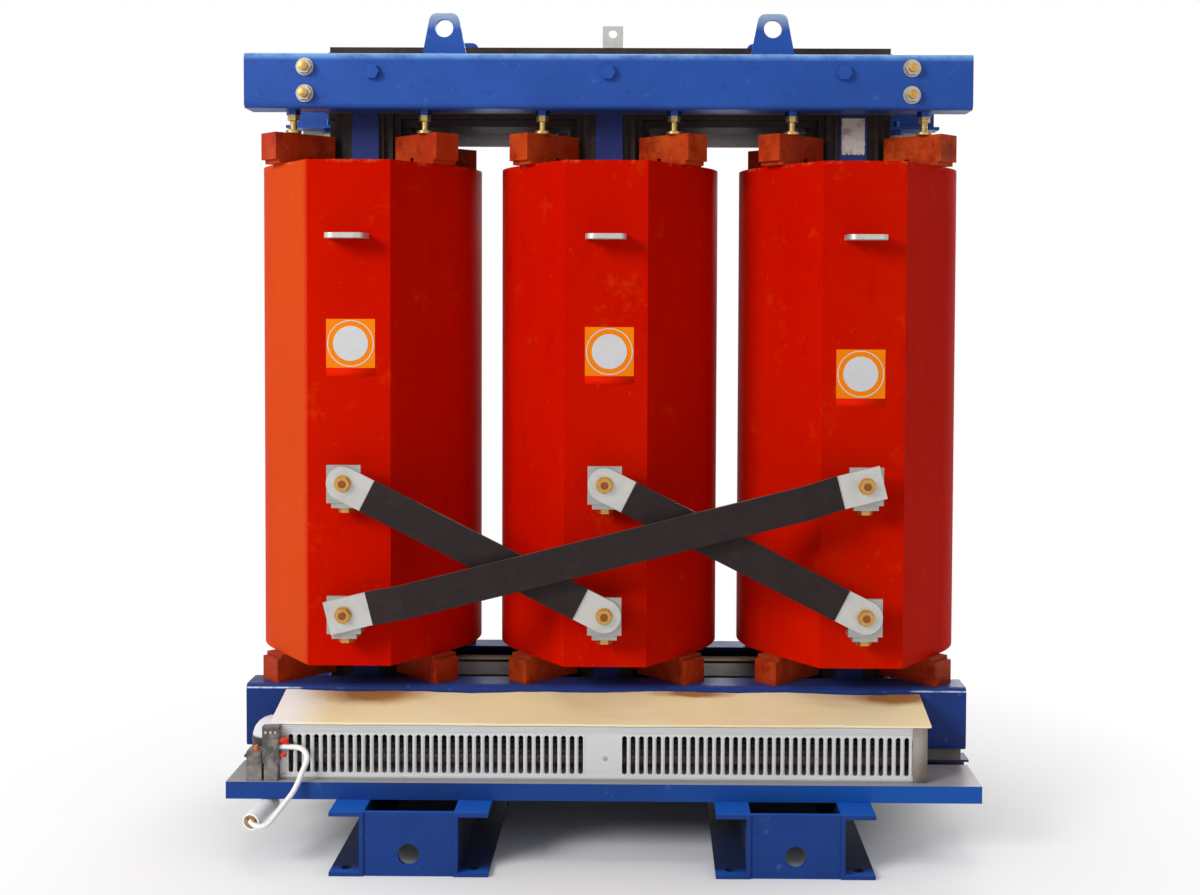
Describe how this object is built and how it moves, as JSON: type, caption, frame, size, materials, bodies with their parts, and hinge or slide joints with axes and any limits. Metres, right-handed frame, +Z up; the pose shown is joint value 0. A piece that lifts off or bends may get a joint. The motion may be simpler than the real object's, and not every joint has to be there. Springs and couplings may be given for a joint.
{
  "type": "dry-type power transformer",
  "caption": "Three-phase cast-resin dry-type power transformer: coils on a clamped stepped core, crossed delta links, cooling fans and a channel base.",
  "frame": {"origin": "middle of the footprint at floor level", "axes": "+X to the right seen from the high-voltage front, +Y to the rear, +Z up"},
  "size_m": [1.338, 0.7868, 1.5462],
  "materials": {
    "core_steel": "varnished lamination edges",
    "blue_paint": "gloss paint",
    "packing_board": "varnished board",
    "zinc": "zinc plated",
    "coil_resin": "cast resin",
    "inner_resin": "cast resin",
    "block_resin": "moulded resin",
    "yellow_zinc": "yellow passivated",
    "terminal_metal": "tinned",
    "black_sleeve": "heat-shrink",
    "fan_sheet": "galvanised sheet",
    "cover_board": "plain board",
    "impeller_metal": "rolled blades",
    "motor_white": "moulded",
    "box_grey": "moulded",
    "white_sleeve": "sleeving",
    "rail_paint": "dark paint",
    "grey_pad": "ribbed pad"
  },
  "bodies": {
    "transformer": {"left_core_limb": "core_steel", "centre_core_limb": "core_steel", "right_core_limb": "core_steel", "upper_core_yoke": "core_steel", "lower_core_yoke": "core_steel", "tie_plates": "blue_paint", "yoke_packers": "packing_board", "upper_front_clamp": "blue_paint", "upper_rear_clamp": "blue_paint", "lower_front_clamp": "blue_paint", "lower_rear_clamp": "blue_paint", "lifting_lugs": "blue_paint", "clamp_tie_bolts": "zinc", "limb_bolts": "blue_paint", "left_hv_coil": "coil_resin", "centre_hv_coil": "coil_resin", "right_hv_coil": "coil_resin", "left_lv_coil": "inner_resin", "centre_lv_coil": "inner_resin", "right_lv_coil": "inner_resin", "upper_support_blocks": "block_resin", "lower_support_blocks": "block_resin", "press_bolts": "yellow_zinc", "hv_line_terminals": "terminal_metal", "delta_tongues": "terminal_metal", "delta_brackets": "terminal_metal", "delta_bolts": "yellow_zinc", "delta_bars": "terminal_metal", "delta_sleeves": "black_sleeve", "lv_phase_bars": "terminal_metal", "lv_neutral_bar": "terminal_metal", "lv_neutral_terminal": "terminal_metal", "lv_bar_supports": "blue_paint", "fan_housings": "fan_sheet", "fan_grilles": "fan_sheet", "fan_covers": "cover_board", "fan_motors": "motor_white", "fan_terminal_boxes": "box_grey", "fan_capacitor": "motor_white", "capacitor_lead": "white_sleeve", "fan_shelves": "blue_paint", "base_rails": "rail_paint", "clamp_pads": "grey_pad", "left_base_channels": "blue_paint", "right_base_channels": "blue_paint", "base_end_plates": "blue_paint"},
    "front_fan_rotor": {"front_fan_impeller": "impeller_metal"},
    "rear_fan_rotor": {"rear_fan_impeller": "impeller_metal"}
  },
  "joints": [
    {"name": "front_fan_spin", "type": "hinge", "parent": "transformer", "child": "front_fan_rotor", "pos_m": [0, -0.25845, 0.192], "axis": [1, 0, 0], "continuous": true},
    {"name": "rear_fan_spin", "type": "hinge", "parent": "transformer", "child": "rear_fan_rotor", "pos_m": [0, 0.25845, 0.192], "axis": [1, 0, 0], "continuous": true}
  ]
}
